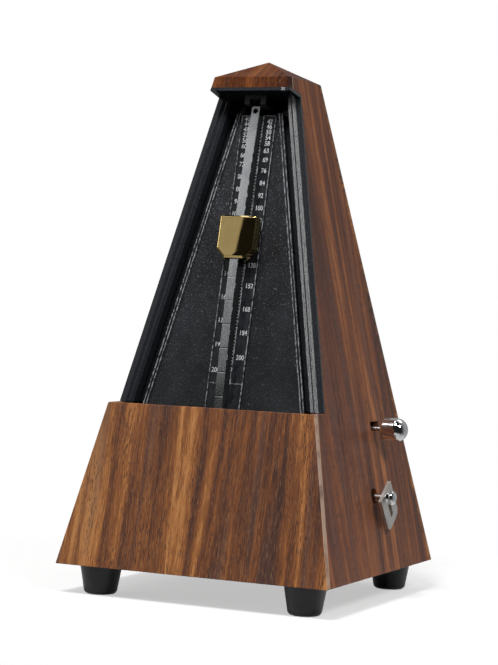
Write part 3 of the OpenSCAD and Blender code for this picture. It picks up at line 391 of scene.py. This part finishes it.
def nickel_strip():
    """Nickel-plated strip with shallow notches across its lower part."""
    m = Material("nickel_rod", Metallic=1.0)
    lines = m.noise(m.stretched((0.08, 0.5, 9)), 3, 0.6)
    stain = m.noise(m.stretched((4, 4, 9), 6), 3, 0.6)
    tone = m.math("ADD", m.math("MULTIPLY", lines, 0.4), m.math("MULTIPLY", stain, 0.6))
    plating = m.ramp(tone, [(0.36, (0.62, 0.65, 0.68)), (0.60, (0.90, 0.92, 0.93))])

    # Dark ring round the hole near the tip
    hole_below_tip, ring_radius = 2.0, 0.95
    tip = max(v.co.dot(UP) for v in frame["nodes"]["pendulum_rod"].data.vertices) / MM
    rise = m.math("SUBTRACT", m.along(UP), tip - hole_below_tip)
    radius = m.node("VectorMath", {0: m.vector(m.along(RIGHT), rise, 0)}, operation="LENGTH").outputs["Value"]
    off_ring = m.math("ABSOLUTE", m.math("SUBTRACT", radius, ring_radius))
    ring = m.between(off_ring, 0.32, 0.18, 0, 0.85)
    m.set("Base Color", m.mix(ring, plating, (0.05, 0.05, 0.05)))
    m.set("Roughness", m.between(tone, 0.3, 0.7, 0.15, 0.19))

    # Notches fade out at the middle of the scale
    notch_pitch = 9.5
    turn = m.math("FRACT", m.math("DIVIDE", m.along(UP), notch_pitch))
    notch = m.between(m.math("ABSOLUTE", m.math("SUBTRACT", turn, 0.5)), 0.0, 0.05, 1.0, 0.0)
    lower_part = m.between(m.along(UP), tempo_up(126) / MM, tempo_up(120) / MM, 1, 0)
    relief = m.math("SUBTRACT", m.math("MULTIPLY", lines, 0.12), m.math("MULTIPLY", notch, lower_part))
    m.set("Normal", m.bump(relief, 0.05, 0.5))
    return m.material


def case_corner():
    """Half width at the case's foot, the height of the foot, and how much it narrows per height."""
    low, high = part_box("front_base_panel")
    return high.x / MM, low.z / MM, UP.y / UP.z


def side_panel_front():
    """Least depth of the side panels above the front base panel."""
    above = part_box("front_base_panel")[1].z
    points = [v.co for v in frame["nodes"]["right_side_panel"].data.vertices]
    return min(p.dot(DEPTH) for p in points if p.z > above + MM)


def make_materials():
    corner = case_corner()
    joint = side_panel_front() / MM
    front, side = (1, 0, 0), (0, 1, 0)
    # The hood's much darker tone is painted shade on the same walnut foil
    warm, cool, painted_shade_tone = (0.90, 0.81, 0.64), (1.00, 0.80, 0.67), (0.38, 0.26, 0.18)
    steel = brushed("steel", (0.36, 0.36, 0.38), (0.62, 0.62, 0.64), 0.30, (5, 0.12, 0.12))
    brass = brushed("brass", (0.50, 0.35, 0.13), (0.78, 0.59, 0.26), 0.30, (4, 0.14, 3))
    blued = brushed("spring_steel", (0.06, 0.08, 0.16), (0.20, 0.24, 0.38), 0.32, (4, 0.3, 0.3))
    chrome = polished("chrome", (0.60, 0.61, 0.63), (0.86, 0.87, 0.89), 0.05)
    made = {
        "steel": steel, "brass": brass, "spring_steel": blued, "chrome": chrome,
        "fibreboard": raw_wood("fibreboard", (0.12, 0.075, 0.045), (0.05, 0.030, 0.020)),
        "softwood": raw_wood("softwood", (0.62, 0.44, 0.25), (0.42, 0.27, 0.13)),
        "black_moulding": moulding(),
        "dial_black": pebbled(),
        "scale_black": scale_plastic(),
        "catch_grey": plain_plastic("catch_grey", (0.020, 0.020, 0.022), (0.050, 0.050, 0.054), 0.42, 0.4),
        "foot_black": plain_plastic("foot_black", (0.006, 0.006, 0.0075), (0.016, 0.016, 0.019), 0.36, 0.6),
        "nickel_rod": nickel_strip(),
        "nickel_key": brushed("nickel_key", (0.50, 0.48, 0.45), (0.74, 0.72, 0.69), 0.30, (3, 0.10, 2.5)),
        "bell_metal": brushed("bell_metal", (0.48, 0.48, 0.50), (0.68, 0.68, 0.70), 0.2, (3, 3, 0.12)),
        "cast_lead": plain_plastic("cast_lead", (0.10, 0.10, 0.11), (0.20, 0.20, 0.21), 0.55, 0.9),
        "gold": polished("gold", (0.49, 0.355, 0.135), (0.54, 0.40, 0.17), 0.01, hairlines=0.0004),
    }
    boards = {
        "front_base_panel": walnut("walnut_front", front, warm, 1.7, corner),
        "back_panel": walnut("walnut_back", front, warm, 9.2),
        "left_side_panel": walnut("walnut_left", side, cool, 15.4, joint=joint),
        "right_side_panel": walnut("walnut_right", side, cool, 4.9, joint=joint),
        "hood": walnut("walnut_hood", front, painted_shade_tone, 6.1, painted_underside_shade=True, specular=0.05),
    }
    return made, boards


def dress_nodes(made, boards):
    """Gives every CAD node the material of its slot."""
    for part in frame["record"]["subparts"]:
        node = frame["nodes"][part["node"]]
        material = boards.get(part["node"]) or made[part["material_slot"]]
        node.data.materials.clear()
        node.data.materials.append(material)


# Softened edges

def soften(node, width):
    """Rounds a CAD node's sharp edges a little, so that they catch the light."""
    thing = frame["nodes"][node]
    weld = thing.modifiers.new("weld", "WELD")
    weld.merge_threshold = 1e-6
    bevel = thing.modifiers.new("bevel", "BEVEL")
    bevel.width = width * MM
    bevel.segments = 2
    bevel.limit_method = "ANGLE"
    bevel.angle_limit = radians(28)
    bevel.harden_normals = True


# Pieces that Blender adds

def finished_piece(thing, name, material, body):
    thing.name = name
    thing.data.name = name
    thing.data.materials.clear()
    thing.data.materials.append(material)
    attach(thing, body)
    return thing


def text_mesh(text, height, matrix):
    """Raised digits as a mesh, narrowed a little and placed by a matrix."""
    digit_share, narrowed = 0.70, 0.86
    curve = bpy.data.curves.new("digits", "FONT")
    curve.body = text
    curve.size = height / digit_share
    curve.extrude = 0.07 * MM
    curve.bevel_depth = 0.025 * MM
    curve.align_x = "CENTER"
    curve.align_y = "CENTER"
    thing = bpy.data.objects.new("digits", curve)
    bpy.context.scene.collection.objects.link(thing)
    bpy.context.view_layer.update()
    mesh = bpy.data.meshes.new_from_object(thing.evaluated_get(bpy.context.evaluated_depsgraph_get()))
    bpy.data.objects.remove(thing)
    bpy.data.curves.remove(curve)
    mesh.transform(matrix @ Matrix.Diagonal((narrowed, 1, 1, 1)))
    return mesh


def joined(meshes, name):
    """One object from several meshes."""
    vertices, faces = [], []
    for mesh in meshes:
        start = len(vertices)
        vertices += [v.co.copy() for v in mesh.vertices]
        faces += [[start + i for i in polygon.vertices] for polygon in mesh.polygons]
    whole = bpy.data.meshes.new(name)
    whole.from_pydata(vertices, [], faces)
    thing = bpy.data.objects.new(name, whole)
    bpy.context.scene.collection.objects.link(thing)
    return thing


def tempos():
    """The tempos of the scale, in its customary steps."""
    bpm, marks = SLOWEST, []
    while bpm <= FASTEST:
        marks.append(bpm)
        bpm += 2 if bpm < 60 else 3 if bpm < 72 else 4 if bpm < 120 else 6 if bpm < 144 else 8
    return marks


def tempo_up(bpm):
    """Place along UP, in metres, of a tempo's mark."""
    return PIVOT.dot(UP) + tempo_radius(bpm)


def make_numbers(material):
    """Tempo numbers in two columns on the scale plate."""
    digit_height = 1.9 * MM
    column = 5.0 * MM
    face = depth_range("scale_plate")[0] + SCALE_RIB * MM
    columns = {"left": [], "right": []}
    for i, bpm in enumerate(tempos()):
        side = "left" if i % 2 == 0 else "right"
        x = -column if side == "left" else column
        place = face_matrix(x, face, tempo_up(bpm))
        columns[side].append(text_mesh(str(bpm), digit_height, place))
    for side, meshes in columns.items():
        numbers = joined(meshes, f"tempo_numbers_{side}")
        finished_piece(numbers, f"tempo_numbers_{side}", material, "case")


def bar_mesh(matrix, length, width, height):
    """Small raised bar with sloping sides."""
    inset = height * 0.5
    low = [(-length, -width), (length, -width), (length, width), (-length, width)]
    corners = [(x / 2, y / 2, 0) for x, y in low]
    corners += [
        (x / 2 - (inset if x > 0 else -inset), y / 2 - (inset if y > 0 else -inset), height) for x, y in low
    ]
    faces = [(3, 2, 1, 0), (4, 5, 6, 7)] + [(i, (i + 1) % 4, (i + 1) % 4 + 4, i + 4) for i in range(4)]
    mesh = bpy.data.meshes.new("bar")
    mesh.from_pydata([matrix @ Vector(c) for c in corners], [], faces)
    return mesh


def make_ticks(material):
    """Fine ticks down the scale's channel, beside the pendulum rod."""
    pitch = 1.35 * MM
    channel_depth = 0.9 * MM
    beside_rod = 1.35 * MM
    length, width, height = 0.8 * MM, 0.35 * MM, 0.22 * MM
    face = depth_range("scale_plate")[0] + SCALE_RIB * MM + channel_depth
    first, last = tempo_up(FASTEST), tempo_up(SLOWEST)
    count = int((last - first) / pitch)
    bars = [
        bar_mesh(face_matrix(beside_rod, face, first + i * pitch), length, width, height)
        for i in range(count)
    ]
    finished_piece(joined(bars, "scale_ticks"), "scale_ticks", material, "case")


# Camera, floor and lights

def look(azimuth, elevation, roll):
    """Right, up and forward directions of a camera that looks at the object."""
    back = Vector((sin(azimuth) * cos(elevation), -cos(azimuth) * cos(elevation), sin(elevation)))
    forward = -back
    right = forward.cross(Vector((0, 0, 1))).normalized()
    up = right.cross(forward)
    return cos(roll) * right + sin(roll) * up, cos(roll) * up - sin(roll) * right, forward


def make_camera():
    right, up, forward = look(CAMERA_AZIMUTH, CAMERA_ELEVATION, CAMERA_ROLL)
    data = bpy.data.cameras.new("camera")
    data.lens = CAMERA_LENS
    data.sensor_width = 36
    data.clip_start = 0.01
    data.clip_end = 50
    camera = bpy.data.objects.new("camera", data)
    place = right * CAMERA_SIDE + Vector((0, 0, CAMERA_HEIGHT)) - forward * CAMERA_DISTANCE
    turn = Matrix((right, up, -forward)).transposed().to_4x4()
    camera.matrix_world = Matrix.Translation(place) @ turn
    bpy.context.scene.collection.objects.link(camera)
    bpy.context.scene.camera = camera
    return place


def make_floor():
    """Pale floor that takes the object's shadow and fades out into the pale surroundings."""
    low, high = CAD_BOUNDS
    reach = (high - low).length
    solid_to, gone_by = reach * 0.30 / MM, reach * 0.75 / MM
    mesh = bpy.data.meshes.new("floor")
    corners = [(-reach, -reach), (reach, -reach), (reach, reach), (-reach, reach)]
    mesh.from_pydata([(x, y, low.z) for x, y in corners], [], [(0, 1, 2, 3)])
    floor = bpy.data.objects.new("floor", mesh)
    m = Material("floor", Roughness=0.8, Specular_IOR_Level=0.2)
    speckle = m.noise(m.stretched((40, 40, 40)), 2)
    m.set("Base Color", m.ramp(speckle, [(0.3, (0.88, 0.88, 0.88)), (0.7, (0.90, 0.90, 0.90))]))
    radius = m.node("VectorMath", {0: m.coordinates()}, operation="LENGTH").outputs["Value"]
    m.set("Alpha", m.between(radius, solid_to, gone_by, 0.5, 0))
    mesh.materials.append(m.material)
    bpy.context.scene.collection.objects.link(floor)


def area_light(name, place, towards, size, power):
    """Rectangular soft box at a place, facing back along a direction."""
    data = bpy.data.lights.new(name, "AREA")
    data.shape = "RECTANGLE"
    data.size, data.size_y = size
    data.energy = power
    light = bpy.data.objects.new(name, data)
    light.location = place
    light.rotation_mode = "QUATERNION"
    light.rotation_quaternion = towards.to_track_quat("Z", "Y")
    bpy.context.scene.collection.objects.link(light)


def soft_light(name, azimuth, elevation, distance, size, power):
    """Soft box round the object. Azimuth 0 is in front, positive to the right."""
    low, high = CAD_BOUNDS
    a, e = radians(azimuth), radians(elevation)
    away = Vector((sin(a) * cos(e), -cos(a) * cos(e), sin(e)))
    area_light(name, (low + high) / 2 + away * distance, away, size, power)


def make_reflector(camera_place):
    """Dim card that the polished weight mirrors over the left part of its face."""
    low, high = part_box("sliding_weight")
    edge_share = 0.60
    width, height, distance, radiance = 0.30, 0.36, 0.70, 0.54
    edge = Vector((low.x + (high.x - low.x) * edge_share, low.y, (low.z + high.z) / 2))
    ray = (edge - camera_place).normalized()
    mirrored = ray - 2 * ray.dot(DEPTH) * DEPTH
    side = Vector((0, 0, 1)).cross(mirrored).normalized()
    place = edge + mirrored * distance - side * width / 2
    area_light("reflector", place, mirrored, (width, height), radiance * pi * width * height)


def make_world():
    """Pale surroundings that are brighter behind the object than in front of it."""
    world = bpy.data.worlds.new("studio")
    bpy.context.scene.world = world
    world.use_nodes = True
    tree = world.node_tree
    tree.nodes.clear()
    place = tree.nodes.new("ShaderNodeTexCoord")
    split = tree.nodes.new("ShaderNodeSeparateXYZ")
    tree.links.new(place.outputs["Generated"], split.inputs[0])
    grade = tree.nodes.new("ShaderNodeMapRange")
    grade.interpolation_type = "SMOOTHSTEP"
    for socket, value in (("From Min", -0.30), ("From Max", 0.60), ("To Min", 0.015), ("To Max", 0.36)):
        grade.inputs[socket].default_value = value
    tree.links.new(split.outputs["Y"], grade.inputs["Value"])
    around = tree.nodes.new("ShaderNodeBackground")
    around.inputs["Color"].default_value = (1, 1, 1, 1)
    tree.links.new(grade.outputs[0], around.inputs["Strength"])
    seen = tree.nodes.new("ShaderNodeBackground")
    seen.inputs["Color"].default_value = (1, 1, 1, 1)
    path = tree.nodes.new("ShaderNodeLightPath")
    mix = tree.nodes.new("ShaderNodeMixShader")
    out = tree.nodes.new("ShaderNodeOutputWorld")
    tree.links.new(path.outputs["Is Camera Ray"], mix.inputs[0])
    tree.links.new(around.outputs[0], mix.inputs[1])
    tree.links.new(seen.outputs[0], mix.inputs[2])
    tree.links.new(mix.outputs[0], out.inputs[0])


def make_lights(camera_place):
    soft_light("key_front", 2, 56, 0.95, (0.22, 0.22), 8.0)
    soft_light("strip_left", -65, 18, 1.3, (0.24, 1.1), 7.4)
    soft_light("side_right", 60, 36, 0.9, (0.24, 0.24), 4.6)
    soft_light("overhead", -80, 72, 1.0, (0.5, 0.4), 1.3)
    soft_light("top_back", 150, 60, 0.9, (0.6, 0.4), 1.0)
    make_reflector(camera_place)


made, boards = make_materials()
camera_place = make_camera()
make_floor()
make_world()
make_lights(camera_place)
dress_nodes(made, boards)
for board in boards:
    soften(board, BOARD_ROUNDING)
soften("sliding_weight", WEIGHT_ROUNDING)
silver = number_silver()
make_numbers(silver)
make_ticks(silver)

bpy.context.scene.view_settings.view_transform = "Standard"
